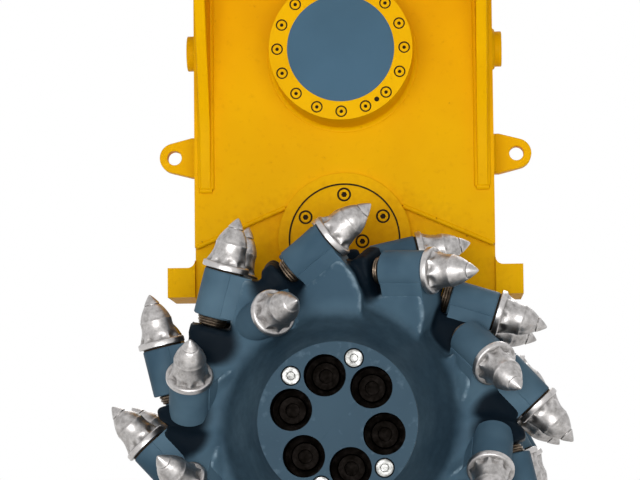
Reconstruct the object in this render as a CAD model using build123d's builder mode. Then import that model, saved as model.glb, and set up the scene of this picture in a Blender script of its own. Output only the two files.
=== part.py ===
"""Excavator drum cutter: a welded gear case hung from a bolted mounting flange, with one cross shaft that carries
a cutting drum on either side. Each drum is a domed body with two spirals of welded pick holders and their picks.

Millimetres, +Z up. The origin is the middle of the mounting flange's top face. The shaft lies along Y.
"""

import os
from math import cos, radians, sin

from build123d import *

os.makedirs("parts", exist_ok=True)

# Mounting flange and its bolt holes, in two columns of four.
flange_width = 500.0
flange_depth = 500.0
flange_thickness = 35.0
flange_corner_radius = 20.0
flange_hole_radius = 16.5
flange_column_spacing = 400.0
flange_outer_row_spacing = 420.0
flange_inner_row_spacing = 180.0

# Gear case: width across the front, thickness between the side faces, and the three shaft axes below the flange.
case_width = 476.0
case_thickness = 150.0
motor_drop = 190.0
idler_drop = 290.0
drum_drop = 297.0
case_shoulder_drop = 569.0
leg_draw_in = 33.0
recess_depth = 15.0
recess_middle_reach = 88.0
recess_middle_drop = 425.0
recess_end_drop = 490.0

# Motor with its bosses and covers.
motor_bore_radius = 90.0
motor_fit = 0.3
boss_radius = 112.0
boss_length = 84.0
cover_thickness = 16.0
cover_chamfer = 3.0

# Idler boss rings and covers.
idler_boss_radius = 105.0
idler_boss_height = 8.0
idler_cover_radius = 87.0
idler_cover_thickness = 7.0
idler_cover_gap = 0.8

# Gusset plates between the flange and the case, drawn by their reach from the case's side face.
gusset_thickness = 17.0
gusset_inset = 10.0
gusset_end_drop = 398.0
gusset_end_reach = 8.0
gusset_bend_drop = 290.0
gusset_bend_reach = 20.0
gusset_top_reach = 151.0
gusset_bend_radius = 150.0

# Guard bars, lifting eyes and port bosses on the narrow walls.
guard_reach = 43.5
guard_height = 47.0
guard_fillet = 12.0
eye_reach = 37.5
eye_drop = 339.0
eye_radius = 24.0
eye_hole_radius = 11.5
eye_root_height = 64.0
eye_thickness = 25.0
port_drop = 168.0
port_radius = 28.5
port_height = 16.0
port_bore_radius = 17.0
plug_fit = 0.1
plug_depth = 2.0
plug_socket_radius = 9.0
plug_socket_depth = 8.0

# Cross shaft.
shaft_radius = 75.0
shaft_length = 650.0
shaft_clearance = 0.3

# Drum body, drawn by its distance from the middle plane and its radius.
drum_hub_start = 70.0
drum_hub_radius = 180.0
drum_back = 95.0
drum_back_slope = 6.0
drum_radius = 212.0
drum_dome_start = 275.0
drum_neck_start = 395.0
drum_neck_radius = 146.0
drum_nose = 463.0
drum_nose_radius = 117.0
drum_bore_fit = 0.2

# Raised face of the drum with its screw holes and jacking holes.
face_radius = 115.0
face_height = 12.0
face_chamfer = 2.5
screw_hole_radius = 30.5
screw_circle_radius = 69.0
screw_count = 6
screw_angle = 45.0
screw_hole_depth = 90.0
jack_hole_radius = 14.5
jack_circle_radius = 94.0
jack_slots = (0, 1, 3, 4)
jack_hole_depth = 6.0

# Round-shank pick and its holder sleeve. Many are alike, so their round forms have few sides.
pick_sides = 8
shank_sides = 6
flange_pick_radius = 35.0
flange_pick_thickness = 10.0
pick_body_radius = 32.0
pick_body_length = 28.0
pick_tip_radius = 23.5
pick_tip_end_radius = 2.0
pick_tip_length = 41.0
shank_radius = 18.0
shank_clearance = 0.6
shank_tail = 14.0
tail_clearance = 4.0
sleeve_radius = 30.5
sleeve_length = 72.0
foot_setback = 6.0
foot_front_drop = 48.0
foot_front_run = 28.0
foot_front_depth = 109.0
foot_rear_drop = 20.0
foot_rear_run = 58.0
foot_rear_depth = 89.0

# Pick spirals. Columns: turn from the pick before, tip radius, tip distance from the case's side face,
# lean of the cutting direction towards the face of the drum, attack angle against the tangent.
# The rear drum is turned by about half a pick, so that the two drums cut in turn.
spiral_starts = 2
first_pick_angle = 108.0
rear_turn = 14.8
pick_rows = (
    (0.0, 184.0, 392.0, 89.0, 57.0),
    (42.4, 245.0, 373.0, 70.0, 51.0),
    (39.5, 268.0, 350.0, 60.0, 53.0),
    (37.0, 301.0, 326.0, 35.0, 46.0),
    (34.5, 326.0, 302.0, 15.0, 48.0),
    (34.5, 340.0, 278.0, 8.0, 49.0),
    (29.6, 345.0, 254.0, 4.0, 48.0),
    (29.6, 345.0, 230.0, 0.0, 48.0),
    (29.6, 340.0, 206.0, 0.0, 48.0),
    (29.6, 336.0, 182.0, 0.0, 48.0),
    (29.6, 338.0, 158.0, 0.0, 48.0),
    (31.1, 337.0, 134.0, 0.0, 48.0),
    (33.1, 334.0, 110.0, -3.0, 48.0),
    (26.4, 331.0, 86.0, -6.0, 48.0),
    (29.1, 325.0, 64.0, -10.0, 48.0),
)

# Heights and distances that follow from the sizes above.
motor_z = -motor_drop
idler_z = motor_z - idler_drop
drum_z = idler_z - drum_drop
half_case = case_thickness / 2
half_width = case_width / 2
leg_end_radius = half_width - leg_draw_in
pick_head_length = flange_pick_thickness + pick_body_length + pick_tip_length
side_half_angle = 180 / pick_sides
foot_width = 2 * sleeve_radius * cos(radians(side_half_angle))
drum_axis = Axis((0, 0, drum_z), (0, 1, 0))
front_face = Plane.XZ.offset(half_case)
rear_face = Plane(origin=(0, half_case, 0), x_dir=(-1, 0, 0), z_dir=(0, 1, 0))
both_faces = (front_face, rear_face)
drum_section = Plane(origin=(0, 0, drum_z), x_dir=(0, -1, 0), z_dir=(-1, 0, 0))


def pick_planes():
    """Seat planes, facing along each pick towards its tip, and the planes that cut each holder lengthwise."""
    seats, cuts = [], []
    out = Vector(0, -1, 0)
    for start in range(spiral_starts):
        angle = first_pick_angle + start * 360 / spiral_starts
        for turn, tip_radius, tip_distance, lean, attack in pick_rows:
            angle += turn
            radial = Vector(cos(radians(angle)), 0, sin(radians(angle)))
            forward = Vector(sin(radians(angle)), 0, -cos(radians(angle)))
            normal = radial * cos(radians(lean)) + out * sin(radians(lean))
            along = forward * cos(radians(attack)) + normal * sin(radians(attack))
            down = (along * sin(radians(attack)) - normal).normalized()
            tip = Vector(0, 0, drum_z) + radial * tip_radius + out * (half_case + tip_distance)
            seat = tip - along * pick_head_length
            seats.append(Plane(origin=seat, x_dir=down, z_dir=along))
            cuts.append(Plane(origin=seat, x_dir=along, z_dir=along.cross(down)))
    return seats, cuts


def frustum(start_radius, end_radius, start, length):
    """Flat-sided frustum along Z between two regular polygons."""
    turns = [radians(360 * side / pick_sides) for side in range(pick_sides)]
    lower = [Vector(start_radius * cos(turn), start_radius * sin(turn), start) for turn in turns]
    upper = [Vector(end_radius * cos(turn), end_radius * sin(turn), start + length) for turn in turns]
    outlines = [lower, upper]
    for side in range(pick_sides):
        outlines.append([lower[side - 1], lower[side], upper[side], upper[side - 1]])
    return Solid(Shell([Face(Wire.make_polygon(outline)) for outline in outlines]))


def save(piece, name):
    """Labels a finished piece and writes it to its own file."""
    piece.part.label = name
    export_step(piece.part, f"parts/{name}.step")


def save_pair(front, name, turn=0.0):
    """Writes a front piece and its mirror image on the rear side, turned about the drums' axis."""
    save(front, f"{name}_front")
    with BuildPart() as rear:
        image = mirror(front.part, about=Plane.XZ, mode=Mode.PRIVATE)
        add(image.rotate(Axis((0, 0, drum_z), (0, 1, 0)), turn))
    save(rear, f"{name}_rear")


seat_planes, cut_planes = pick_planes()

# Mounting flange: a rounded plate with eight bolt holes.
with BuildPart() as mounting_flange:
    with BuildSketch():
        RectangleRounded(flange_width, flange_depth, flange_corner_radius)
        with GridLocations(flange_column_spacing, flange_outer_row_spacing, 2, 2):
            Circle(flange_hole_radius, mode=Mode.SUBTRACT)
        with GridLocations(flange_column_spacing, flange_inner_row_spacing, 2, 2):
            Circle(flange_hole_radius, mode=Mode.SUBTRACT)
    extrude(amount=-flange_thickness)
save(mounting_flange, "mounting_flange")

# Gear case: a straight upper box that draws in to the round end of the leg, recessed beside the drums
# except at the idler bosses.
upper_height = case_shoulder_drop - flange_thickness
upper_middle = -(case_shoulder_drop + flange_thickness) / 2
leg_end_z = drum_z - leg_end_radius
with BuildPart() as gear_case:
    with BuildSketch(Plane.XZ):
        with Locations((0, upper_middle)):
            Rectangle(case_width, upper_height)
        with Locations((0, drum_z)):
            Circle(leg_end_radius)
        make_hull()
    extrude(amount=half_case, both=True)
    with BuildSketch(*both_faces):
        with BuildLine():
            Polyline(
                (-half_width, leg_end_z),
                (-half_width, -recess_end_drop),
                (-recess_middle_reach, -recess_middle_drop),
                (recess_middle_reach, -recess_middle_drop),
                (half_width, -recess_end_drop),
                (half_width, leg_end_z),
                close=True,
            )
        make_face()
        with Locations((0, idler_z)):
            Circle(idler_boss_radius, mode=Mode.SUBTRACT)
    extrude(amount=-recess_depth, mode=Mode.SUBTRACT)
    with BuildSketch(*both_faces):
        with Locations((0, idler_z)):
            Circle(idler_boss_radius)
            Circle(idler_cover_radius + idler_cover_gap, mode=Mode.SUBTRACT)
    extrude(amount=idler_boss_height)
    with BuildSketch(Plane.XZ):
        with Locations((0, motor_z)):
            Circle(motor_bore_radius)
        with Locations((0, drum_z)):
            Circle(shaft_radius + shaft_clearance)
    extrude(amount=half_case, both=True, mode=Mode.SUBTRACT)
save(gear_case, "gear_case")

# Hydraulic motor: one plain block in its bore, from cover to cover.
with BuildPart() as hydraulic_motor:
    with BuildSketch(Plane.XZ):
        with Locations((0, motor_z)):
            Circle(motor_bore_radius - motor_fit)
    extrude(amount=half_case + boss_length, both=True)
save(hydraulic_motor, "hydraulic_motor")

# Motor bosses: a tube on either side face.
with BuildPart() as motor_bosses:
    with BuildSketch(*both_faces):
        with Locations((0, motor_z)):
            Circle(boss_radius)
            Circle(motor_bore_radius, mode=Mode.SUBTRACT)
    extrude(amount=boss_length)
save(motor_bosses, "motor_bosses")

# Motor covers: chamfered discs on the ends of the bosses.
with BuildPart() as motor_covers:
    with BuildSketch(*[face.offset(boss_length) for face in both_faces]):
        with Locations((0, motor_z)):
            Circle(boss_radius)
    extrude(amount=cover_thickness)
    cover_edges = motor_covers.edges().group_by(Axis.Y)
    chamfer(cover_edges[0] + cover_edges[-1], length=cover_chamfer)
save(motor_covers, "motor_covers")

# Idler covers: discs let into the bosses.
with BuildPart() as idler_covers:
    with BuildSketch(*both_faces):
        with Locations((0, idler_z)):
            Circle(idler_cover_radius)
    extrude(amount=idler_cover_thickness)
save(idler_covers, "idler_covers")

# Gussets: plates that flare from the case's side face out to the flange.
gusset_middle = half_width - gusset_inset - gusset_thickness / 2
with BuildPart() as gusset_front_right:
    with BuildSketch(Plane(origin=(gusset_middle, 0, 0), x_dir=(0, -1, 0), z_dir=(-1, 0, 0))):
        with BuildLine():
            free_edge = FilletPolyline(
                (half_case + gusset_end_reach, -gusset_end_drop),
                (half_case + gusset_bend_reach, -gusset_bend_drop),
                (half_case + gusset_top_reach, -flange_thickness),
                radius=gusset_bend_radius,
            )
            Polyline(
                free_edge @ 1,
                (half_case, -flange_thickness),
                (half_case, -gusset_end_drop),
                free_edge @ 0,
            )
        make_face()
    extrude(amount=gusset_thickness / 2, both=True)
save_pair(gusset_front_right, "gusset_right")
with BuildPart() as gusset_front_left:
    mirror(gusset_front_right.part, about=Plane.YZ)
save_pair(gusset_front_left, "gusset_left")

# Guard bars: bars across the narrow walls, with a rounded upper corner.
guard_bottom = -case_shoulder_drop
guard_top = guard_bottom + guard_height
arc_share = 1 - cos(radians(45))
with BuildPart() as guard_bars:
    with BuildSketch(Plane.XZ):
        with BuildLine():
            bar_edge = Polyline(
                (half_width, guard_top + guard_fillet),
                (half_width, guard_bottom),
                (half_width + guard_reach, guard_bottom),
                (half_width + guard_reach, guard_top),
                (half_width + guard_fillet, guard_top),
            )
            ThreePointArc(
                bar_edge @ 1,
                (half_width + guard_fillet * arc_share, guard_top + guard_fillet * arc_share),
                bar_edge @ 0,
            )
        make_face()
    extrude(amount=half_case, both=True)
    mirror(about=Plane.YZ)
save(guard_bars, "guard_bars")

# Lifting eyes: tapered ears in the middle plane.
with BuildPart() as lifting_eyes:
    with BuildSketch(Plane.XZ):
        with Locations((half_width + eye_reach, -eye_drop)):
            Circle(eye_radius)
        with Locations((half_width, -eye_drop)):
            Rectangle(eye_reach / 4, eye_root_height, align=(Align.MIN, Align.CENTER))
        make_hull()
        with Locations((half_width + eye_reach, -eye_drop)):
            Circle(eye_hole_radius, mode=Mode.SUBTRACT)
    extrude(amount=eye_thickness / 2, both=True)
    mirror(about=Plane.YZ)
save(lifting_eyes, "lifting_eyes")

# Port bosses: short rings with a socket plug in each.
port_face = Plane(origin=(half_width, 0, -port_drop), x_dir=(0, 1, 0), z_dir=(1, 0, 0))
with BuildPart() as port_bosses:
    with BuildSketch(port_face):
        Circle(port_radius)
        Circle(port_bore_radius, mode=Mode.SUBTRACT)
    extrude(amount=port_height)
    mirror(about=Plane.YZ)
save(port_bosses, "port_bosses")

with BuildPart() as port_plugs:
    with BuildSketch(port_face):
        Circle(port_bore_radius - plug_fit)
    extrude(amount=port_height - plug_depth)
    with BuildSketch(port_face.offset(port_height - plug_depth)):
        RegularPolygon(plug_socket_radius, 6)
    extrude(amount=-plug_socket_depth, mode=Mode.SUBTRACT)
    mirror(about=Plane.YZ)
save(port_plugs, "port_plugs")

# Cross shaft.
with BuildPart() as cross_shaft:
    with BuildSketch(Plane.XZ):
        with Locations((0, drum_z)):
            Circle(shaft_radius)
    extrude(amount=shaft_length / 2, both=True)
save(cross_shaft, "cross_shaft")

# Drum hub: a ring on the shaft between the leg and the drum's back.
with BuildPart() as drum_hub:
    with BuildSketch(Plane.XZ.offset(drum_hub_start)):
        with Locations((0, drum_z)):
            Circle(drum_hub_radius)
            Circle(shaft_radius + drum_bore_fit, mode=Mode.SUBTRACT)
    extrude(amount=drum_back - drum_hub_start)
save_pair(drum_hub, "drum_hub")

# Drum body: a domed shell with every holder's sleeve and foot welded on, bored for the shanks and the screws.
drum_face = drum_nose + face_height
face_plane = Plane(origin=(0, -drum_face, drum_z), x_dir=(1, 0, 0), z_dir=(0, -1, 0))
jack_angles = [screw_angle + (slot + 0.5) * 360 / screw_count for slot in jack_slots]
jack_points = [
    (jack_circle_radius * cos(radians(angle)), jack_circle_radius * sin(radians(angle))) for angle in jack_angles
]
with BuildPart() as drum:
    with BuildSketch(drum_section):
        with BuildLine():
            Polyline(
                (shaft_length / 2, 0),
                (shaft_length / 2, shaft_radius + drum_bore_fit),
                (drum_back, shaft_radius + drum_bore_fit),
                (drum_back, drum_hub_radius),
                (drum_back + drum_back_slope, drum_radius),
                (drum_dome_start, drum_radius),
                (drum_neck_start, drum_neck_radius),
                (drum_nose, drum_nose_radius),
                (drum_nose, face_radius),
                (drum_face - face_chamfer, face_radius),
                (drum_face, face_radius - face_chamfer),
                (drum_face, 0),
                close=True,
            )
        make_face()
    revolve(axis=drum_axis)
    with BuildSketch(*seat_planes):
        RegularPolygon(sleeve_radius, pick_sides, rotation=side_half_angle)
    extrude(amount=-sleeve_length)
    with BuildSketch(*cut_planes):
        with BuildLine():
            Polyline(
                (-foot_setback, 0),
                (-sleeve_length, 0),
                (-sleeve_length, foot_rear_drop),
                (-sleeve_length - foot_rear_run, foot_rear_depth),
                (-foot_setback - foot_front_run, foot_front_depth),
                (-foot_setback, foot_front_drop),
                close=True,
            )
        make_face()
    extrude(amount=foot_width / 2, both=True)
    with BuildSketch(*seat_planes):
        RegularPolygon(shank_radius + shank_clearance, shank_sides)
    extrude(amount=-(sleeve_length + shank_tail + tail_clearance), mode=Mode.SUBTRACT)
    with BuildSketch(face_plane):
        with PolarLocations(screw_circle_radius, screw_count, start_angle=screw_angle):
            Circle(screw_hole_radius)
    extrude(amount=-screw_hole_depth, mode=Mode.SUBTRACT)
    with BuildSketch(face_plane):
        with Locations(*jack_points):
            Circle(jack_hole_radius)
    extrude(amount=-jack_hole_depth, mode=Mode.SUBTRACT)
save_pair(drum, "drum", rear_turn)

# One pick: collar, drawn-in body and hard tip in front of the seat, shank behind it.
with BuildPart() as pick:
    with BuildSketch():
        RegularPolygon(flange_pick_radius, pick_sides)
    extrude(amount=flange_pick_thickness)
    add(frustum(pick_body_radius, pick_tip_radius, flange_pick_thickness, pick_body_length))
    add(frustum(pick_tip_radius, pick_tip_end_radius, flange_pick_thickness + pick_body_length, pick_tip_length))
    with BuildSketch():
        RegularPolygon(shank_radius, shank_sides)
    extrude(amount=-(sleeve_length + shank_tail))

# Picks: one in each holder.
with BuildPart() as picks:
    with Locations(*seat_planes):
        add(pick.part)
save_pair(picks, "picks", rear_turn)
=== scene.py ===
# %% [markdown]
# # A drum cutter for an excavator arm
# The CAD frame gives every solid of the cutter in metres, with the flange's top face at the origin and
# +Z up. This lesson dresses that frame: cast drums, forged picks, bolted covers, welds and paint.

import bmesh
import bpy
import numpy as np
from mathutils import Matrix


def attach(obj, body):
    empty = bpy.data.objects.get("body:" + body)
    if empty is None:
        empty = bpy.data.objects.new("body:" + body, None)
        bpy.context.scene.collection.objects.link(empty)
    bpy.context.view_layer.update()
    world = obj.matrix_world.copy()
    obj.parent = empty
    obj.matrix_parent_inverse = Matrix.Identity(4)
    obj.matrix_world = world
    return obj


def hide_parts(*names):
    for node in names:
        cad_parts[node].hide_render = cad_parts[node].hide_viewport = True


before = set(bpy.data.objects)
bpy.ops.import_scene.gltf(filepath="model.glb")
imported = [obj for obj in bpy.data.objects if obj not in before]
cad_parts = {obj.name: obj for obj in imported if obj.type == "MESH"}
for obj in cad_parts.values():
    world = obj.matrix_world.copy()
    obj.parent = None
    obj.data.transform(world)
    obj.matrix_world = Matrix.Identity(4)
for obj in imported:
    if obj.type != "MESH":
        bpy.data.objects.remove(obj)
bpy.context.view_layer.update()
MM = 0.001

# %% [markdown]
# ## Surfaces as arrays
# Every new piece is a grid of points, worked out as whole arrays in millimetres. A grid is closed round
# its columns, and a row may shrink to one point to make a pole. Copies are placed by an array of origins
# and axes, which is far quicker than adding objects one by one.


# %% Grids and copies
def sheet_of(rows):
    """Quads over a grid of points, rows x columns x 3, closed round the columns."""
    count, columns = rows.shape[:2]
    index = np.arange(count * columns).reshape(count, columns)
    onward = np.roll(index, -1, axis=1)
    faces = np.stack([index[:-1], onward[:-1], onward[1:], index[1:]], axis=-1)
    return rows.reshape(-1, 3), faces.reshape(-1, 4)


def turned(profile, columns):
    """Profile of (height, radius) pairs turned about Z: x = r cos a, y = r sin a, z = height."""
    height, radius = np.array(profile, float).T
    angle = np.linspace(0, 2 * np.pi, columns, endpoint=False)
    ring = np.stack([np.cos(angle), np.sin(angle)], axis=-1)
    flat = radius[:, None, None] * ring[None]
    return sheet_of(np.dstack([flat, np.broadcast_to(height[:, None, None], flat.shape[:2] + (1,))]))


def copies(surface, origins, axes):
    """One copy of a surface for each origin and set of three axes: p = origin + x ax + y ay + z az."""
    points, faces = surface
    placed = origins[:, None, :] + np.einsum("pi,nij->npj", points, axes)
    shift = np.arange(len(origins))[:, None, None] * len(points)
    return placed.reshape(-1, 3), (faces[None] + shift).reshape(-1, 4)


def mirrored(surface, axis):
    """The mirror image across the origin's plane at right angles to an axis, its faces turned back."""
    points, faces = surface
    flip = np.ones(3)
    flip[axis] = -1
    return points * flip, faces[:, ::-1]


def joined(*surfaces):
    """Several surfaces as one: each one's faces count on from the points before it."""
    starts = np.cumsum([0] + [len(points) for points, _ in surfaces[:-1]])
    points = np.concatenate([points for points, _ in surfaces])
    faces = np.concatenate([faces + start for (_, faces), start in zip(surfaces, starts)])
    return points, faces


# %% [markdown]
# ## From arrays to pieces
# A surface becomes a mesh once. Its doubled points are merged, so that shading runs smoothly over seams,
# and its faces are turned outwards. A piece then rides on one of the CAD's bodies, names the nodes that
# it stands for, and is shaded smooth except across creases.


# %% Meshes and pieces
def mesh_of(name, surface):
    """A mesh from millimetre arrays, its doubled points merged and its faces turned outwards."""
    points, faces = surface
    mesh = bpy.data.meshes.new(name)
    mesh.from_pydata(points * MM, [], faces.tolist())
    work = bmesh.new()
    work.from_mesh(mesh)
    bmesh.ops.remove_doubles(work, verts=work.verts, dist=2e-6)
    bmesh.ops.dissolve_degenerate(work, edges=work.edges, dist=1e-6)
    bmesh.ops.recalc_face_normals(work, faces=work.faces)
    work.to_mesh(mesh)
    work.free()
    return mesh


def add_object(name, data):
    """A new object in the scene, at the origin and unturned."""
    item = bpy.data.objects.new(name, data)
    bpy.context.scene.collection.objects.link(item)
    return item


def piece_of(name, mesh, body, slot, finish, *nodes, crease=32):
    """Adds a mesh as a piece on a body, with its finish and the CAD nodes that it stands for."""
    mesh.shade_smooth()
    mesh.set_sharp_from_angle(angle=np.radians(crease))
    mesh.materials.clear()
    mesh.materials.append(finish)
    piece = add_object(name, mesh)
    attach(piece, body)
    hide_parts(*nodes)
    print(name, len(mesh.polygons), "faces")


# %% [markdown]
# ## Colours and nodes
# Colours are sRGB hex values, turned to linear light by one function. One helper adds a node with its
# settings, values and links, so each finish reads as a short list.


# %% Colour and node helpers
def linear(code):
    """sRGB hex to linear RGBA: c / 12.92 below 0.04045, else ((c + 0.055) / 1.055) ^ 2.4."""
    srgb = np.array([int(code[place:place + 2], 16) for place in (1, 3, 5)]) / 255
    light = np.where(srgb <= 0.04045, srgb / 12.92, ((srgb + 0.055) / 1.055) ** 2.4)
    return (*light.tolist(), 1.0)


def add_node(tree, kind, settings=None, values=None, links=None):
    """Adds a node, sets its properties and input values, and links its inputs."""
    node = tree.nodes.new(kind)
    for key, value in (settings or {}).items():
        setattr(node, key, value)
    for key, value in (values or {}).items():
        node.inputs[key].default_value = value
    for key, source in (links or {}).items():
        tree.links.new(source, node.inputs[key])
    return node


def new_finish(name, **sockets):
    """A material with one Principled shader, whose constant sockets are set directly."""
    finish = bpy.data.materials.new(name)
    finish.use_nodes = True
    shader = finish.node_tree.nodes["Principled BSDF"]
    for socket, value in sockets.items():
        shader.inputs[socket.replace("_", " ")].default_value = value
    return finish, finish.node_tree, shader


# %% [markdown]
# ## Painted shade and scuffs
# Near the drums the case is painted a deeper orange: a painted shade, where the drums keep light off the
# lower case. Brown primer shows where the paint is knocked off. Both could be painted on an image, but a
# procedure stays sharp at any distance. Each mark fills an ellipsoid: a spherical gradient on mapped
# coordinates, added to a fine noise that frays its edge.

# %% Marks on paint
CHIP_MM = 9
MARK_COVER = 0.8


def marked(tree, place, tone, marks):
    """A tone under marks, each a ramp from low to high over weight x (1 - |(p - centre) / reach|) + noise."""
    chip = add_node(tree, "ShaderNodeTexNoise", values={"Scale": 1 / (CHIP_MM * MM), "Detail": 4.0},
                    links={"Vector": place}).outputs["Fac"]
    for centre, reach, colour, weight, low, high in marks:
        patch = add_node(tree, "ShaderNodeMapping", {"vector_type": "TEXTURE"},
                         {"Location": np.multiply(centre, MM), "Scale": np.multiply(reach, MM)},
                         {"Vector": place}).outputs[0]
        patch = add_node(tree, "ShaderNodeTexGradient", {"gradient_type": "SPHERICAL"},
                         links={"Vector": patch}).outputs["Fac"]
        patch = add_node(tree, "ShaderNodeMath", {"operation": "MULTIPLY_ADD"}, {1: weight},
                         {0: patch, 2: chip}).outputs[0]
        patch = add_node(tree, "ShaderNodeMapRange",
                         values={"From Min": low, "From Max": high, "To Max": MARK_COVER},
                         links={"Value": patch}).outputs["Result"]
        tone = add_node(tree, "ShaderNodeMix", {"data_type": "RGBA"}, {7: linear(colour)},
                        {0: patch, 6: tone}).outputs[2]
    return tone


# %% [markdown]
# ## Sprayed enamel on steel
# The yellow case and the blue drums carry sprayed enamel: a dull dielectric with a slight orange peel and
# a tone that drifts over a hand's width. Edges are paler, by a point attribute that says how far the
# surface bulges: partly rubbed paint, partly a painted highlight. Shade behind the pick holders and on the
# bare dome is painted in near black, by a second attribute. Flat colours would be quicker, but paint that
# is the same all over looks like plastic.

# %% Enamel recipe
DRIFT_MM = 110
SPECK_MM = 14
RAGGED = 1.2
PALE_EDGE_FROM, PALE_EDGE_TO = 0.3, 0.95
SHADE_FROM, SHADE_TO = 0.06, 0.3
SHADE_NOISE, SHADE_COVER = 0.04, 0.96
PEEL_MM = 5  # real orange peel is finer and would not show
PEEL_DEPTH_MM, PEEL_STRENGTH = 0.4, 0.06


def enamel(name, base, deep, wear_and_highlight, shade_colour, roughness, edge, marks=()):
    """Enamel drifting from base to deep, paler on edges as wear and painted highlight, with painted shade
    from an attribute, and marks.
    """
    finish, tree, shader = new_finish(name, IOR=1.5, Specular_IOR_Level=0.03)
    place = add_node(tree, "ShaderNodeTexCoord").outputs["Object"]
    drift = add_node(tree, "ShaderNodeTexNoise", values={"Scale": 1 / (DRIFT_MM * MM), "Detail": 3.0},
                     links={"Vector": place}).outputs["Fac"]
    drift = add_node(tree, "ShaderNodeMapRange", values={"From Min": 0.35, "From Max": 0.65},
                     links={"Value": drift}).outputs["Result"]
    tone = add_node(tree, "ShaderNodeMix", {"data_type": "RGBA"}, {6: linear(base), 7: linear(deep)},
                    {0: drift}).outputs[2]
    # The speck noise, centred on 0, makes the pale edges ragged and the painted shade a little uneven.
    speck = add_node(tree, "ShaderNodeTexNoise", values={"Scale": 1 / (SPECK_MM * MM), "Detail": 5.0},
                     links={"Vector": place}).outputs["Fac"]
    ragged = add_node(tree, "ShaderNodeMath", {"operation": "MULTIPLY_ADD"},
                      {1: RAGGED, 2: -RAGGED / 2}, {0: speck}).outputs[0]
    # Paler edges where the relief attribute is high: partly worn paint, partly a painted highlight.
    relief = add_node(tree, "ShaderNodeAttribute", {"attribute_name": "relief"}).outputs["Fac"]
    bulge = add_node(tree, "ShaderNodeMath", {"operation": "ADD"}, links={0: relief, 1: ragged}).outputs[0]
    pale_edge_mix = add_node(tree, "ShaderNodeMapRange",
                    values={"From Min": PALE_EDGE_FROM, "From Max": PALE_EDGE_TO, "To Max": edge},
                    links={"Value": bulge}).outputs["Result"]
    tone = add_node(tree, "ShaderNodeMix", {"data_type": "RGBA"}, {7: linear(wear_and_highlight)},
                    {0: pale_edge_mix, 6: tone}).outputs[2]
    # Painted shade: where the point attribute read below is high, behind the pick holders and low on the bare
    # dome, the colour is mixed towards a dark shade tone.
    painted_shade = add_node(tree, "ShaderNodeAttribute", {"attribute_name": "painted_shade"}).outputs["Fac"]
    shade_mix = add_node(tree, "ShaderNodeMath", {"operation": "MULTIPLY_ADD"}, {1: SHADE_NOISE},
                      {0: ragged, 2: painted_shade}).outputs[0]
    shade_mix = add_node(tree, "ShaderNodeMapRange", {"interpolation_type": "SMOOTHSTEP"},
                      {"From Min": SHADE_FROM, "From Max": SHADE_TO, "To Max": SHADE_COVER},
                      {"Value": shade_mix}).outputs["Result"]
    tone = add_node(tree, "ShaderNodeMix", {"data_type": "RGBA"}, {7: linear(shade_colour)},
                    {0: shade_mix, 6: tone}).outputs[2]
    tone = marked(tree, place, tone, marks)
    gloss = add_node(tree, "ShaderNodeMapRange",
                     values={"To Min": roughness - 0.08, "To Max": roughness + 0.1}, links={"Value": speck})
    peel = add_node(tree, "ShaderNodeTexNoise", values={"Scale": 1 / (PEEL_MM * MM), "Detail": 2.0},
                    links={"Vector": place}).outputs["Fac"]
    bump = add_node(tree, "ShaderNodeBump",
                    values={"Strength": PEEL_STRENGTH, "Distance": PEEL_DEPTH_MM * MM},
                    links={"Height": peel})
    tree.links.new(tone, shader.inputs["Base Color"])
    tree.links.new(gloss.outputs["Result"], shader.inputs["Roughness"])
    tree.links.new(bump.outputs["Normal"], shader.inputs["Normal"])
    return finish


# %% [markdown]
# ## The enamels
# Yellow shows clean colour with pale edges, and a painted shade, deeper orange, towards the drums. Slate
# blue is the drums' paint, dulled by rock. The face plate is machined, and its enamel is that same paint
# made darker: painted shade, as the face takes less light than the tops of the holders. The round labels
# on the motor covers are a plain blue film. A mark's row holds its centre and reach in mm, its colour, the
# weight of its ellipsoid against the noise, and the range over which it fades in.

# %% Enamel finishes
scuff = ("#7a430e", 0.4, 0.76, 0.84)
# Painted shade: a deeper orange on the lower case near the drums, where they keep light off.
shade_near_drums = ("#b97400", 2.0, 0.6, 2.1)
case_marks = [
    ((0.0, -78.0, -570.0), (270.0, 60.0, 200.0), *shade_near_drums),
    ((0.0, 78.0, -570.0), (270.0, 60.0, 200.0), *shade_near_drums),
    ((-101.0, -68.0, -484.0), (7.0, 12.0, 42.0), *scuff),
    ((-101.0, -68.0, -525.0), (5.0, 12.0, 6.0), *scuff),
    ((118.0, -70.0, -441.0), (9.0, 12.0, 8.0), *scuff),
    ((142.0, -70.0, -449.0), (7.0, 12.0, 5.0), *scuff),
    ((-236.0, -70.0, -583.0), (5.0, 14.0, 16.0), *scuff),
    ((222.0, -70.0, -578.0), (4.0, 14.0, 18.0), *scuff),
]
case_enamel = enamel("yellow_enamel", "#e9b000", "#e3a800", "#fac70c", "#8a5a00", 0.48, 0.8, case_marks)
# The drums' near-black fifth colour is the painted shade behind the holders and on the bare dome.
drum_enamel = enamel("slate_blue_enamel", "#526b7b", "#3b5262", "#93a8b5", "#010710", 0.46, 0.6)
# The face plate's paint is the drum paint made darker: painted shade, as the face takes less light than the
# holders' tops.
face_shade_paint = enamel("face_plate_shade_paint", "#384d5b", "#344856", "#7d93a2", "#02050a", 0.4, 0.6)
label_film = enamel("slate_blue_film", "#47657a", "#436074", "#566f82", "#31465a", 0.5, 0.3)
print("enamels:", case_enamel.name, drum_enamel.name, face_shade_paint.name, label_film.name)

# %% [markdown]
# ## Steels
# The picks are forged steel polished by rock: a metal whose roughness wanders, with grey scale left in
# the hollows and shallow hammer dents. Screws in the drum's face are black oxide, the jacking plugs
# bright zinc, the spring rings browned and the shaft plain turned steel. A material each would say the
# same thing five times, so one recipe serves all of them, from bright to black.

# %% Steel finishes
SCALE_PATCH_MM = 9
SCALE_FROM, SCALE_TO = 0.34, 0.7
RUBBED_SHARE = 0.5
DENT_MM = 13
DENT_DEPTH_MM = 2


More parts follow.
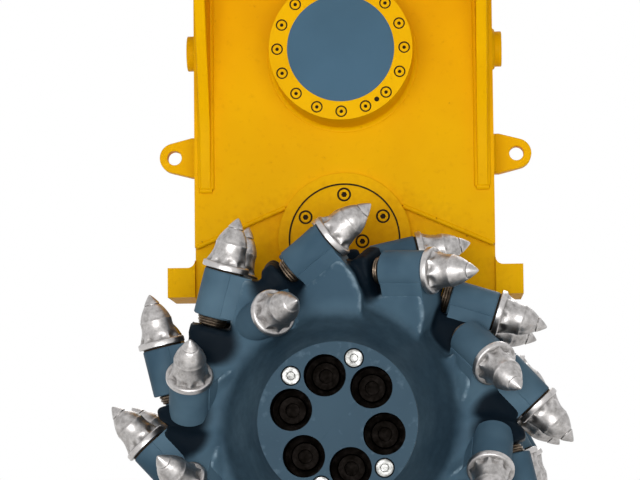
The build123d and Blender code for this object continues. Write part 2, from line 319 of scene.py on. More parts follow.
def worn_steel(name, bright, scale, low, high, dent):
    """Metal between a bright tone and a scale tone in patches, roughness from low to high, dented."""
    finish, tree, shader = new_finish(name, Metallic=1.0)
    place = add_node(tree, "ShaderNodeTexCoord").outputs["Object"]
    patch = add_node(tree, "ShaderNodeTexNoise",
                     values={"Scale": 1 / (SCALE_PATCH_MM * MM), "Detail": 6.0, "Roughness": 0.65},
                     links={"Vector": place}).outputs["Fac"]
    relief = add_node(tree, "ShaderNodeAttribute", {"attribute_name": "relief"}).outputs["Fac"]
    level = add_node(tree, "ShaderNodeMath", {"operation": "MULTIPLY_ADD"}, {1: -RUBBED_SHARE},
                     {0: relief, 2: patch}).outputs[0]
    level = add_node(tree, "ShaderNodeMapRange", values={"From Min": SCALE_FROM, "From Max": SCALE_TO},
                     links={"Value": level}).outputs["Result"]
    tone = add_node(tree, "ShaderNodeMix", {"data_type": "RGBA"}, {6: linear(bright), 7: linear(scale)},
                    {0: level}).outputs[2]
    gloss = add_node(tree, "ShaderNodeMapRange", values={"To Min": low, "To Max": high},
                     links={"Value": level})
    hammer = add_node(tree, "ShaderNodeTexNoise", values={"Scale": 1 / (DENT_MM * MM), "Detail": 3.0},
                      links={"Vector": place}).outputs["Fac"]
    bump = add_node(tree, "ShaderNodeBump", values={"Strength": dent, "Distance": DENT_DEPTH_MM * MM},
                    links={"Height": hammer})
    tree.links.new(tone, shader.inputs["Base Color"])
    tree.links.new(gloss.outputs["Result"], shader.inputs["Roughness"])
    tree.links.new(bump.outputs["Normal"], shader.inputs["Normal"])
    return finish


pick_steel = worn_steel("forged_pick_steel", "#bdbab9", "#858280", 0.34, 0.48, 0.25)
zinc_plate = worn_steel("bright_zinc", "#90908e", "#5c5c5a", 0.28, 0.46, 0.9)
clip_steel = worn_steel("browned_spring_steel", "#8f8070", "#2e2219", 0.3, 0.5, 0.3)
black_oxide = worn_steel("black_oxide_steel", "#0b0908", "#050403", 0.4, 0.6, 0.1)
turned_steel = worn_steel("turned_steel", "#9a9a98", "#6c6c6a", 0.25, 0.4, 0.1)
# Narrow gaps are painted a dull dark brown: painted shade, where light does not reach in.
gap_shade, _, _ = new_finish("dark_gap_shade", Base_Color=linear("#24190a"), Roughness=0.7,
                              Specular_IOR_Level=0.1)
print("steels:", pick_steel.name, zinc_plate.name, clip_steel.name, black_oxide.name, turned_steel.name)

# %% [markdown]
# ## How far a surface bulges
# Paint wears off on edges, and edges catch light: on the enamels the paler edge stands for both, partly
# wear and partly a painted highlight. The shader's own Pointiness could find them, but only Cycles knows
# it, and an attribute is kept in the mesh with a strength of our choice. At each point, the directions to
# its neighbours are compared with its normal: on a ridge they all drop away from it, in a corner they rise.


# %% Relief attribute
def points_of(mesh, key="co"):
    """Places, or normals, of a mesh's points as an n x 3 array."""
    values = np.empty(len(mesh.vertices) * 3, np.float32)
    mesh.vertices.foreach_get(key, values)
    return values.reshape(-1, 3)


def keep_attribute(mesh, name, values):
    """Keeps one number for each point under a name that materials can read."""
    layer = mesh.attributes.new(name, "FLOAT", "POINT")
    layer.data.foreach_set("value", values.astype(np.float32))


def mark_relief(mesh, gain):
    """relief = -gain x mean of (unit edge . normal) over a point's edges, softened once."""
    points, normals, count = points_of(mesh), points_of(mesh, "normal"), len(mesh.vertices)
    edges = np.empty(len(mesh.edges) * 2, np.int32)
    mesh.edges.foreach_get("vertices", edges)
    edges = edges.reshape(-1, 2)
    start, end = np.concatenate([edges, edges[:, ::-1]]).T
    run = points[end] - points[start]
    run /= np.linalg.norm(run, axis=1, keepdims=True) + 1e-9
    rise = (run * normals[start]).sum(axis=1)
    degree = np.bincount(start, minlength=count) + 1e-9
    relief = -gain * np.bincount(start, rise, count) / degree
    relief = 0.5 * relief + 0.5 * np.bincount(start, relief[end], count) / degree
    keep_attribute(mesh, "relief", np.clip(relief, -1, 1))


# %% [markdown]
# ## Where the picks stand
# Each drum has two spirals of picks. Placed by hand they would drift from the solids, so the table is the
# CAD's own: the turn from the pick before, the tip's radius and its distance from the case, the lean
# towards the drum's face and the attack angle. A pick's seat is its tip less the pick's length, and its
# three axes point down into the drum, across, and along the pick. The rear drum is the front drum's
# mirror image, turned by about half a pick.

# %% Seats of the picks
DRUM_Z = -777.0
DRUM_AXIS = np.array([0.0, 0.0, DRUM_Z])
CASE_SIDE = 75.0
PICK_LENGTH = 79.0
FIRST_PICK = 108.0
REAR_TURN = 14.8
pick_rows = np.array([
    (0.0, 184.0, 392.0, 89.0, 57.0),
    (42.4, 245.0, 373.0, 70.0, 51.0),
    (39.5, 268.0, 350.0, 60.0, 53.0),
    (37.0, 301.0, 326.0, 35.0, 46.0),
    (34.5, 326.0, 302.0, 15.0, 48.0),
    (34.5, 340.0, 278.0, 8.0, 49.0),
    (29.6, 345.0, 254.0, 4.0, 48.0),
    (29.6, 345.0, 230.0, 0.0, 48.0),
    (29.6, 340.0, 206.0, 0.0, 48.0),
    (29.6, 336.0, 182.0, 0.0, 48.0),
    (29.6, 338.0, 158.0, 0.0, 48.0),
    (31.1, 337.0, 134.0, 0.0, 48.0),
    (33.1, 334.0, 110.0, -3.0, 48.0),
    (26.4, 331.0, 86.0, -6.0, 48.0),
    (29.1, 325.0, 64.0, -10.0, 48.0),
])


def pick_seats():
    """Seat origins (n x 3) and axes (n x 3 x 3: down, across, along) for both spirals of the front drum."""
    _, radius, distance, lean, attack = np.tile(pick_rows, (2, 1)).T
    spiral = FIRST_PICK + np.cumsum(pick_rows[:, 0])
    angle = np.radians(np.concatenate([spiral, spiral + 180]))
    lean, attack = np.radians(lean)[:, None], np.radians(attack)[:, None]
    nil = np.zeros_like(angle)
    radial = np.stack([np.cos(angle), nil, np.sin(angle)], axis=-1)
    forward = np.stack([np.sin(angle), nil, -np.cos(angle)], axis=-1)
    out = np.array([0.0, -1.0, 0.0])
    normal = radial * np.cos(lean) + out * np.sin(lean)
    along = forward * np.cos(attack) + normal * np.sin(attack)
    down = along * np.sin(attack) - normal
    down /= np.linalg.norm(down, axis=1, keepdims=True)
    across = np.cross(along, down)
    tip = radial * radius[:, None] + out * (CASE_SIDE + distance)[:, None] + DRUM_AXIS
    return tip - along * PICK_LENGTH, np.stack([down, across, along], axis=1)


def spun(points, degrees):
    """Points turned about the drum axis: x' = x cos t + z sin t, z' = z cos t - x sin t."""
    x, y, z = (points - DRUM_AXIS).T
    turn = np.radians(degrees)
    across, up = x * np.cos(turn) + z * np.sin(turn), z * np.cos(turn) - x * np.sin(turn)
    return np.stack([across, y, up], axis=-1) + DRUM_AXIS


def as_front(surface):
    """A surface of the front drum as it is."""
    return surface


def as_rear(surface):
    """A surface of the front drum mirrored onto the rear drum and turned."""
    points, faces = mirrored(surface, 1)
    return spun(points, REAR_TURN), faces


sides = (("front", as_front), ("rear", as_rear))
seats, seat_axes = pick_seats()
print("picks on a drum:", len(seats))

# %% [markdown]
# ## Painted shade behind the sleeves
# Shade falls behind each sleeve, round the end of the shank, and it is painted into the colour there. In a
# seat's own axes that shaded hollow is an ellipsoid behind the sleeve, and a point's attribute says how
# deep it lies in the nearest one: h = 1 - |(p - c) / reach|. The bare dome between the pedestals gets a
# light painted shade too, so the face plate and the pedestals stand out paler.

# %% Painted shade attribute
SHADE_CENTRE = np.array([6.0, 0.0, -108.0])
SHADE_REACH = np.array([74.0, 60.0, 60.0])
# A light painted shade low on the bare dome, fading out as the surface rises.
LOW_GROUND_SHADE = 0.185
LOW_GROUND_MM = 30.0
dome_outline = np.array([
    (-463.0, 112.0), (-459.0, 116.0), (-450.0, 120.0), (-435.0, 126.0), (-418.0, 133.5), (-400.0, 142.5),
    (-380.0, 154.0), (-360.0, 166.0), (-340.0, 177.5), (-320.0, 188.5), (-300.0, 199.0), (-285.0, 205.5),
    (-270.0, 210.0), (-255.0, 212.0), (-101.0, 212.0), (-95.0, 208.0),
])


def mark_painted_shade(mesh):
    """Painted shade depth: the largest 1 - |(p - centre) / reach| over the seats, at least a light shade low
    on the bare dome.
    """
    place = points_of(mesh) / MM
    if place[:, 1].mean() > 0:
        place = spun(place, -REAR_TURN) * (1, -1, 1)
    height = np.hypot(place[:, 0], place[:, 2] - DRUM_Z) - np.interp(place[:, 1], *dome_outline.T)
    depth = LOW_GROUND_SHADE * np.clip(1 - height / LOW_GROUND_MM, 0, 1)
    for seat, axes in zip(seats, seat_axes):
        local = ((place - seat) @ axes.T - SHADE_CENTRE) / SHADE_REACH
        depth = np.maximum(depth, 1 - np.linalg.norm(local, axis=1))
    keep_attribute(mesh, "painted_shade", depth)


# %% [markdown]
# ## Forged picks
# A round-shank pick is a solid of turning: a collar, a skirt that hollows in to a waist, a sharp shoulder,
# a bulging point and a hard tip behind a fine seam. A Screw modifier could turn it, but pockets are pressed
# into the skirt above the collar, so the radius also depends on the angle and is worked out as
# r(z, a) = profile(z) - depth(z) x pocket(a). A dark ring fills the gap under the collar as painted shade,
# and spring rings hold the shank behind the sleeve.

# %% Pick shapes
POCKETS = 9
POCKET_DEPTH = 5.0
POCKET_HEIGHT = 11.5
POCKET_SPREAD = 5.5
COLLAR_TOP = 9.4
PICK_RELIEF = 1.6
pick_profile = np.array([
    (0.0, 28.0), (0.0, 33.8), (0.9, 35.0), (6.8, 35.0), (8.4, 34.2), (9.2, 32.6),
    (9.6, 31.2), (11.0, 30.6), (13.0, 29.6), (15.0, 28.7), (17.5, 27.6), (20.0, 26.6),
    (23.0, 25.5), (26.0, 24.7), (29.0, 24.1), (32.0, 23.8), (36.0, 23.7), (39.4, 23.9),
    (40.0, 23.7), (41.0, 23.0), (44.0, 22.3), (48.0, 20.8), (52.0, 18.9), (56.0, 16.6),
    (60.0, 14.0), (62.6, 12.2), (63.0, 11.2), (63.9, 11.2), (64.3, 11.9), (67.0, 10.2),
    (70.0, 8.2), (73.0, 6.0), (75.8, 3.8), (77.8, 2.0), (78.8, 0.9), (79.0, 0.0),
])
shank_profile = [(-86.0, 0.0), (-86.0, 16.0), (-84.0, 18.0), (0.0, 18.0), (0.0, 28.0)]
gap_profile = [(0.0, 18.0), (0.0, 28.6), (-2.6, 28.6), (-2.6, 18.0)]


def fluted_head(columns):
    """Head of a pick: r = profile - depth x bell(z about the pocket height) x (0.5 + 0.5 cos 9a)^0.7."""
    height, radius = pick_profile.T
    angle = np.linspace(0, 2 * np.pi, columns, endpoint=False)
    bell = np.exp(-(((height - POCKET_HEIGHT) / POCKET_SPREAD) ** 2))
    bell = np.where(height > COLLAR_TOP, bell, 0.0)
    pocket = (0.5 + 0.5 * np.cos(POCKETS * angle)) ** 0.7
    reach = radius[:, None] - POCKET_DEPTH * bell[:, None] * pocket[None]
    level = np.broadcast_to(height[:, None], reach.shape)
    return sheet_of(np.stack([reach * np.cos(angle), reach * np.sin(angle), level], axis=-1))


def ring(height, reach, wire):
    """Torus about Z at a height: radius reach + wire cos t, z = height + wire sin t."""
    turn = np.linspace(0, 2 * np.pi, 9)
    return turned(np.stack([height + wire * np.sin(turn), reach + wire * np.cos(turn)], axis=-1), 28)


print("pick head", pick_profile[-1, 0], "mm long and", 2 * pick_profile[:, 1].max(), "mm over the collar")

# %% [markdown]
# ## Sets of picks
# All thirty picks of a drum are one piece, because they share a finish and a body. The relief attribute
# leaves scale in their pockets and polishes their edges.

# %% Picks
pick_head = joined(fluted_head(72), turned(shank_profile, 18))
spring_rings = joined(ring(-74.6, 19.8, 2.6), ring(-79.4, 19.2, 2.3), ring(-83.4, 17.8, 1.8))
front_picks = copies(pick_head, seats, seat_axes)
front_rings = copies(spring_rings, seats, seat_axes)
# The dark rings under the collars are painted shade in the gaps.
front_gaps = copies(turned(gap_profile, 32), seats, seat_axes)
for side, place in sides:
    mesh = mesh_of(f"forged_picks_{side}", place(front_picks))
    mark_relief(mesh, PICK_RELIEF)
    piece_of(f"forged_picks_{side}", mesh, "drums", "pick_steel", pick_steel, f"picks_{side}", crease=40)
    for name, surface, finish in (("spring_rings", front_rings, clip_steel),
                                  ("collar_gaps", front_gaps, gap_shade)):
        piece_of(f"{name}_{side}", mesh_of(f"{name}_{side}", place(surface)), "drums", "pick_steel", finish)

# %% [markdown]
# ## Drum bodies with cast pedestals
# The drum is a domed casting, and every holder stands on a pedestal that flares and flows into it. On the
# rim a heavy heel backs it. Modelling each fillet would take a loft per holder. Instead the dome, the
# pedestals, the heels and the cores of the sleeves are laid through one another, remeshed into a single
# skin of even voxels, and smoothed: the smoothing rounds the corners as paint and casting do. The sleeves
# stay crisp turned tubes, each on a flat-sided saddle whose upper edges catch the light.

# %% Drum shapes
inner_outline = [(-95.0, 76.0), (-325.0, 76.0), (-325.0, 0.0)]
nose_outline = [(-380.0, 0.0), (-380.0, 106.0), (-463.0, 106.0)]
dome_profile = [*nose_outline, *dome_outline.tolist(), *inner_outline]
core_profile = [(-5.0, 0.0), (-5.0, 26.0), (-68.0, 26.0), (-68.0, 0.0)]
sleeve_profile = [(-62.0, 18.6), (-72.0, 18.6), (-72.0, 28.4), (-70.4, 30.0),
                  (-4.0, 30.0), (-2.6, 28.8), (-2.6, 18.6)]
saddle_outline = np.array([(10.2, 29.7), (9.0, 28.4), (9.0, -28.4),
                           (10.2, -29.7), (42.0, -29.7), (42.0, 29.7)])
SADDLE_ENDS = (-69.0, -3.4)
pedestal_sections = np.array([
    (26.0, -6.0, -72.0, 29.0), (36.0, -4.0, -92.0, 33.5), (62.0, -4.0, -114.0, 38.0),
    (92.0, -14.0, -138.0, 42.0), (114.0, -34.0, -128.0, 43.0),
])
heel_sections = np.array([
    (-30.0, -88.0, -106.0, 27.0), (-14.0, -87.0, -120.0, 31.0), (20.0, -87.0, -134.0, 33.0),
    (62.0, -90.0, -142.0, 38.0), (104.0, -92.0, -142.0, 40.0),
])


def about_drum_axis(surface):
    """A surface turned about Z laid along the drum's axis: (x, y, z) becomes (x, z, -y) + axis."""
    points, faces = surface
    return np.stack([points[:, 0], points[:, 2], -points[:, 1] + DRUM_Z], axis=-1), faces


def capped(rows):
    """A grid closed at both ends by rows that shrink to the first and last rows' middles."""
    ends = [np.broadcast_to(row.mean(axis=0), row.shape) for row in (rows[0], rows[-1])]
    return sheet_of(np.concatenate([ends[:1], rows, ends[1:]]))


def block(sections):
    """Stack of rectangles, one for each section (down, front, rear, half width), closed at both ends."""
    down, front, rear, half = sections.T[:, :, None] * np.ones(4)
    ahead = np.array([True, True, False, False])
    leftward = np.array([True, False, False, True])
    return capped(np.stack([down, np.where(leftward, -half, half), np.where(ahead, front, rear)], axis=-1))


def saddle():
    """Flat-sided block under the sleeve: the outline (down, across) carried along the pick's axis."""
    down, across = saddle_outline.T
    rows = [np.stack([down, across, np.full_like(down, along)], axis=-1) for along in SADDLE_ENDS]
    return capped(np.array(rows))


print("dome", 2 * dome_outline[:, 1].max(), "mm across,", np.ptp(dome_outline[:, 0]), "mm deep")

# %% [markdown]
# ## Casting the drums
# Smaller voxels keep crisper edges, but halving them makes four times the faces. At this size a drum has
# under 180,000 triangles, and the pedestals still keep their shape.

# %% Drum castings
VOXEL_MM = 4.6
SMOOTH_STEPS = 6
RIM_LEAN = 50.0
CASTING_RELIEF = 5.0


def finished(part, *tools):
    """A part's mesh with its modifiers applied. The part and the tools that cut it are then removed."""
    depsgraph = bpy.context.evaluated_depsgraph_get()
    mesh = bpy.data.meshes.new_from_object(part.evaluated_get(depsgraph))
    for item in (part, *tools):
        bpy.data.objects.remove(item)
    return mesh


def cast_drum():
    """Front drum: dome, pedestals, heels on the rim and sleeve cores remeshed into one skin and smoothed."""
    on_rim = np.tile(pick_rows[:, 3] < RIM_LEAN, 2)
    raw = joined(about_drum_axis(turned(dome_profile, 144)),
                 copies(block(pedestal_sections), seats, seat_axes),
                 copies(block(heel_sections), seats[on_rim], seat_axes[on_rim]),
                 copies(turned(core_profile, 24), seats, seat_axes))
    blank = add_object("drum_blank", mesh_of("drum_blank", raw))
    skin = blank.modifiers.new("skin", "REMESH")
    skin.mode = "VOXEL"
    skin.voxel_size = VOXEL_MM * MM
    soften = blank.modifiers.new("soften", "SMOOTH")
    soften.iterations = SMOOTH_STEPS
    mesh = finished(blank)
    corners = np.empty(len(mesh.polygons) * 4, np.int32)
    mesh.loops.foreach_get("vertex_index", corners)
    return points_of(mesh).astype(float) / MM, corners.reshape(-1, 4)


front_drum = cast_drum()
front_sleeves = copies(joined(turned(sleeve_profile, 40), saddle()), seats, seat_axes)
for side, place in sides:
    mesh = mesh_of(f"drum_casting_{side}", place(front_drum))
    # Pale edges from the relief: partly rubbed paint, partly a painted highlight.
    mark_relief(mesh, CASTING_RELIEF)
    # Painted shade behind the holders and on the bare dome, as a point attribute.
    mark_painted_shade(mesh)
    piece_of(f"drum_casting_{side}", mesh, "drums", "drum_paint", drum_enamel, f"drum_{side}", crease=60)
    mesh = mesh_of(f"pick_sleeves_{side}", place(front_sleeves))
    piece_of(f"pick_sleeves_{side}", mesh, "drums", "drum_paint", drum_enamel)

# %% [markdown]
# ## Drum faces
# A bolted plate closes each drum. Six deep counterbores hold black socket screws and four bright plugs
# close the jacking holes. Dark discs would look flat from the side, so the holes are cut by a Boolean with
# one cutter, and a Bevel breaks every edge so that it catches light.

# %% Face plates, screws and plugs
DRUM_FACE = (DRUM_Z, -475.0)  # a face is the height of its middle and its y
FACE_RADIUS = 115.0
FACE_DEPTH = 12.0
SCREW_BORE, PLUG_BORE = 30.5, 14.5
BORE_LEVELS = (-20.0, 5.0)
FACE_EDGE = 1.6
FACE_RELIEF = 2.2
face_screws_at = (np.radians(45.0 + 60.0 * np.arange(6)), 69.0)
face_plugs_at = (np.radians([75.0, 135.0, 255.0, 315.0]), 94.0)
cup_profile = [(-11.0, 30.3), (-74.0, 30.3), (-74.0, 0.0), (-78.0, 0.0),
               (-78.0, 33.0), (-11.0, 33.0), (-11.0, 30.3)]
screw_profile = [(-73.5, 0.0), (-73.5, 21.0), (-50.0, 21.0), (-48.0, 19.2),
                 (-48.0, 10.6), (-50.0, 10.0), (-60.0, 10.0), (-60.0, 0.0)]
plug_profile = [(-14.0, 0.0), (-14.0, 13.9), (-2.6, 13.9), (-0.7, 12.4),
                (-0.1, 10.0), (-0.5, 6.2), (-2.3, 5.2), (-2.7, 0.0)]


def disc(radius, low, high, columns):
    """Closed flat cylinder from a low to a high level."""
    return turned([(low, 0.0), (low, radius), (high, radius), (high, 0.0)], columns)


def on_face(surface, face, turns=(0.0,), reach=0.0):
    """Copies on a front face, each p = (reach cos t + x, face y - z, centre z + reach sin t + y)."""
    centre_z, face_y = face
    turns = np.array(turns)
    origins = np.stack([reach * np.cos(turns), np.full_like(turns, face_y),
                        centre_z + reach * np.sin(turns)], axis=-1)
    axes = np.broadcast_to(np.array([[1.0, 0, 0], [0, 0, 1.0], [0, -1.0, 0]]), (len(turns), 3, 3))
    return copies(surface, origins, axes)


def break_edges(piece, width, angle):
    """A Bevel of two segments on every edge sharper than an angle in degrees, with a width in mm."""
    bevel = piece.modifiers.new("broken", "BEVEL")
    bevel.width = width * MM
    bevel.segments = 2
    bevel.limit_method = "ANGLE"
    bevel.angle_limit = np.radians(angle)


def drilled(name, blank, cutter, edge):
    """A blank less its cutter, by an exact Boolean, with its sharp edges broken; returned as a mesh."""
    part = add_object(name, mesh_of(name, blank))
    tool = add_object(name + "_cutter", mesh_of(name + "_cutter", cutter))
    cut = part.modifiers.new("cut", "BOOLEAN")
    cut.object = tool
    cut.solver = "EXACT"
    break_edges(part, edge, 40)
    return finished(part, tool)


plate_blank = on_face(disc(FACE_RADIUS, -FACE_DEPTH, 0.0, 120), DRUM_FACE)
plate_cutter = joined(on_face(disc(SCREW_BORE, *BORE_LEVELS, 56), DRUM_FACE, *face_screws_at),
                      on_face(disc(PLUG_BORE, *BORE_LEVELS, 36), DRUM_FACE, *face_plugs_at))
face_fittings = (
    # Black cups line the counterbores: painted shade, so the deep holes read dark.
    ("face_bore_shade", on_face(turned(cup_profile, 48), DRUM_FACE, *face_screws_at), black_oxide),
    ("face_screws", on_face(turned(screw_profile, 36), DRUM_FACE, *face_screws_at), black_oxide),
    ("jack_plugs", on_face(turned(plug_profile, 36), DRUM_FACE, *face_plugs_at), zinc_plate),
)
for side, place in sides:
    mesh = drilled(f"drum_face_{side}", place(plate_blank), place(plate_cutter), FACE_EDGE)
    # Relief on the face plate gives pale rims round its holes: a painted highlight on the bevels, partly
    # wear.
    mark_relief(mesh, FACE_RELIEF)
    piece_of(f"drum_face_{side}", mesh, "drums", "drum_paint", face_shade_paint, crease=18)
    for name, surface, finish in face_fittings:
        mesh = mesh_of(f"{name}_{side}", place(surface))
        piece_of(f"{name}_{side}", mesh, "drums", "machined_steel", finish)

# %% [markdown]
# ## Covers on the gear case
# The motor covers are plain discs with a ring of socket screws in counterbores and a film label. The idler
# covers are let into a raised ring with a fine dark gap round them. A screw is a turned head with a
# six-sided socket, whose wall is a polygon in polar form.

# %% Screws, holes and gaps
HOLE_TOP = 3.0


def socket_screw(radius, socket, depth):
    """Head in its counterbore: socket wall r = s cos 30 / cos((a mod 60) - 30), so it keeps six sides."""
    columns = 36
    angle = np.linspace(0, 2 * np.pi, columns, endpoint=False)
    six = socket * np.cos(np.pi / 6) / np.cos((angle % (np.pi / 3)) - np.pi / 6)
    plain = np.ones(columns)
    outline = ((-depth - 2, 0 * plain), (-depth - 2, radius * plain), (-1.0, radius * plain),
               (-0.2, (radius - 0.9) * plain), (-0.2, six), (-depth, six * 0.97), (-depth, 0 * plain))
    rows = [np.stack([reach * np.cos(angle), reach * np.sin(angle), np.full(columns, height)], axis=-1)
            for height, reach in outline]
    return sheet_of(np.array(rows))


def bore(radius, depth):
    """Cutter for a blind hole: a closed cylinder from the depth to just above the face."""
    return disc(radius, -depth, HOLE_TOP, 28)


def washer(inner, outer, depth):
    """Flat dark ring at a depth below a face, from the inner to the outer radius."""
    return turned([(-depth - 1, inner), (-depth, inner), (-depth, outer),
                   (-depth - 1, outer), (-depth - 1, inner)], 32)


def front_and_rear(surface):
    """A surface of the front side together with its mirror image on the rear side."""
    return joined(surface, mirrored(surface, 1))


# %% [markdown]
# ## Placing the covers
# Each ring of screws is a face, the turns of its screws and their reach from its middle. The blank, its
# cutter, the screws and the dark gaps all take their places from it, so they stay together.

# %% Motor and idler covers
MOTOR_FACE = (-190.0, -175.0)
IDLER_FACE = (-480.0, -82.0)
MOTOR_RADIUS, IDLER_RADIUS, LABEL_RADIUS = 112.0, 86.2, 83.5
COVER_EDGE = 1.0
motor_ring = (MOTOR_FACE, np.radians(22.5 * np.arange(16)), 99.0)
motor_vent = (MOTOR_FACE, np.radians([-55.5]), 98.0)
idler_ring = (IDLER_FACE, np.radians(90.0 + 60.0 * np.arange(6)), 70.7)
idler_inner = (IDLER_FACE, np.radians([-8.0]), 28.5)
motor_screw, idler_screw = socket_screw(7.0, 3.2, 4.0), socket_screw(8.2, 4.8, 3.6)
idler_bore = bore(11.2, 6.0)
covers = (
    ("motor_cover_plates", "motor_covers", on_face(disc(MOTOR_RADIUS, -16.0, 0.0, 128), MOTOR_FACE),
     joined(on_face(bore(9.2, 9.0), *motor_ring), on_face(bore(4.0, 9.0), *motor_vent)),
     on_face(motor_screw, *motor_ring)),
    ("idler_cover_plates", "idler_covers", on_face(disc(IDLER_RADIUS, -7.0, 0.0, 112), IDLER_FACE),
     joined(on_face(idler_bore, *idler_ring), on_face(idler_bore, *idler_inner)),
     joined(on_face(idler_screw, *idler_ring), on_face(idler_screw, *idler_inner))),
)
for name, node, blank, cutter, screws in covers:
    mesh = drilled(name, front_and_rear(blank), front_and_rear(cutter), COVER_EDGE)
    piece_of(name, mesh, "housing", "case_paint", case_enamel, node, crease=18)
    mesh = mesh_of(name + "_screws", front_and_rear(screws))
    piece_of(name + "_screws", mesh, "housing", "case_paint", case_enamel)

# %% [markdown]
# ## Labels and painted shade in gaps
# A thin disc lies on each motor cover. The gaps round the screws, in their sockets and round the idler
# covers lie in shade. Rendered shade alone would leave them too pale, so each gets a dark ring or disc as
# painted shade.

# %% Labels and gaps
label_disc = on_face(disc(LABEL_RADIUS, 0.0, 0.5, 96), MOTOR_FACE)
mesh = mesh_of("motor_labels", front_and_rear(label_disc))
piece_of("motor_labels", mesh, "housing", "drum_paint", label_film)
idler_gap_profile = [(-2.0, 85.8), (1.3, 85.8), (1.3, 88.4), (-2.0, 88.4)]
idler_gap, idler_socket = washer(8.0, 11.3, 1.2), washer(0.0, 4.4, 2.9)
gap_rows = (
    (washer(6.9, 9.25, 1.2), motor_ring), (washer(0.0, 2.7, 3.2), motor_ring),
    (washer(0.0, 4.05, 1.0), motor_vent),
    (idler_gap, idler_ring), (idler_gap, idler_inner),
    (idler_socket, idler_ring), (idler_socket, idler_inner),
    (turned(idler_gap_profile, 112), (IDLER_FACE,)),
)
# These dark rings and discs are painted shade in the gaps round the covers and screws.
gaps = joined(*[on_face(surface, *spot) for surface, spot in gap_rows])
mesh = mesh_of("cover_gaps", front_and_rear(gaps))
piece_of("cover_gaps", mesh, "housing", "machined_steel", gap_shade)

# %% [markdown]
# ## Plates with broken edges
# The case, flange, gussets, guard bars, eyes and ports keep their CAD shapes. A CAD edge is razor sharp and
# never catches light, so a copy of each has its triangles merged back into flat faces, and a Bevel breaks
# its edges as grinding and paint do.

# %% Housing plates
plate_edges = {
    "mounting_flange": 3.0, "gear_case": 2.0, "gusset_right_front": 2.0, "gusset_right_rear": 2.0,
    "gusset_left_front": 2.0, "gusset_left_rear": 2.0, "guard_bars": 2.0, "lifting_eyes": 2.5,
    "port_bosses": 1.5, "motor_bosses": 1.0,
}


def broken_copy(node, width):
    """A copy of a CAD node with flat faces merged and edges over 35 degrees rounded to a width in mm."""
    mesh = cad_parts[node].data.copy()
    work = bmesh.new()
    work.from_mesh(mesh)
    bmesh.ops.remove_doubles(work, verts=work.verts, dist=1e-5)
    bmesh.ops.dissolve_limit(work, angle_limit=np.radians(0.4), verts=work.verts, edges=work.edges)
    work.to_mesh(mesh)
    work.free()
    plain = add_object(node + "_plain", mesh)
    break_edges(plain, width, 35)
    return finished(plain)


for node, width in plate_edges.items():
    mesh = broken_copy(node, width)
    piece_of("painted_" + node, mesh, "housing", "case_paint", case_enamel, node, crease=18)

# %% [markdown]
# ## Welds
# Fillet welds join the plates. Bump alone would leave the outlines sharp, so each bead is a round bar
# carried along a path and half sunk in the corner. Faint ripples along it come from a sine of the distance:
# radius = size x (1 + 0.03 sin(2 pi s / 7 mm)). The motor bosses stand in a hollow fillet, a quarter of a
# circle turned about their axis.

# %% Weld shapes
RIPPLE_MM = 7.0
RIPPLE_SHARE = 0.03


def bead(path, lift, size):
    """Bead on a path (n x 3): path + size(s) (cos a side + sin a lift), shrinking to a point at both ends."""
    run = np.gradient(path, axis=0)
    run /= np.linalg.norm(run, axis=1, keepdims=True)
    rise = np.broadcast_to(lift, path.shape)
    rise = rise - (rise * run).sum(axis=1, keepdims=True) * run
    rise /= np.linalg.norm(rise, axis=1, keepdims=True)
    side = np.cross(run, rise)
    steps = np.linalg.norm(np.diff(path, axis=0), axis=1)
    distance = np.concatenate([[0.0], np.cumsum(steps)])
    swell = size * (1 + RIPPLE_SHARE * np.sin(2 * np.pi * distance / RIPPLE_MM))
    swell[[0, -1]] = 0.0
    angle = np.linspace(0, 2 * np.pi, 10, endpoint=False)
    around = np.cos(angle)[None, :, None] * side[:, None] + np.sin(angle)[None, :, None] * rise[:, None]
    return sheet_of(path[:, None] + swell[:, None, None] * around)


def line(start, end):
    """Points about every 2 mm from start to end: start + share (end - start)."""
    start, end = np.array(start, float), np.array(end, float)
    share = np.linspace(0, 1, int(np.linalg.norm(end - start) / 2) + 3)[:, None]
    return start + share * (end - start)


def circle(centre, reach, first, second):
    """Points round a circle: centre + reach (cos a first + sin a second), closed."""
    angle = np.linspace(0, 2 * np.pi, int(np.pi * reach) + 3)[:, None]
    return np.array(centre) + reach * (np.cos(angle) * np.array(first) + np.sin(angle) * np.array(second))


def hollow_fillet(radius, size):
    """Hollow fillet round a boss: (height, reach) = (s - s sin t, radius + s - s cos t), turned about Z."""
    turn = np.linspace(0, np.pi / 2, 8)
    toe = [(-2.0, radius + size + 1.0), (0.5, radius + size + 1.0)]
    curve = np.stack([size - size * np.sin(turn[::-1]), radius + size - size * np.cos(turn[::-1])], axis=-1)
    return turned([*toe, *curve.tolist(), (size, radius - 2.0)], 120)


# %% [markdown]
# ## Laying the welds
# One corner of the case is laid out weld by weld: both sides of a gusset, its foot, the upright edge below
# it and the slope beside the idler cover. Mirror images give the other three corners.

# %% Weld beads
right_front = joined(
    bead(line((228.5, -76.0, -40), (228.5, -76.0, -398)), (1, -1, 0), 4.0),
    bead(line((210.5, -76.0, -40), (210.5, -76.0, -400)), (-1, -1, 0), 4.6),
    bead(line((208.0, -76.5, -399), (231.0, -76.5, -399)), (0, -1, -1), 5.0),
    bead(line((239.0, -14.0, -308), (239.0, -14.0, -370)), (1, -1, 0), 4.0),
    bead(line((92.0, -73.0, -427.0), (237.0, -73.0, -490.0)), (0, -1, -1), 4.0),
)
all_corners = front_and_rear(joined(right_front, mirrored(right_front, 0)))
boss_fillet = on_face(hollow_fillet(MOTOR_RADIUS, 7.0), (MOTOR_FACE[0], -CASE_SIDE))
port_bead = bead(circle((239.0, 0, -168), 29.5, (0, 1, 0), (0, 0, 1)), (1, 0, 0), 4.0)
welds = joined(all_corners, front_and_rear(boss_fillet), port_bead, mirrored(port_bead, 0))
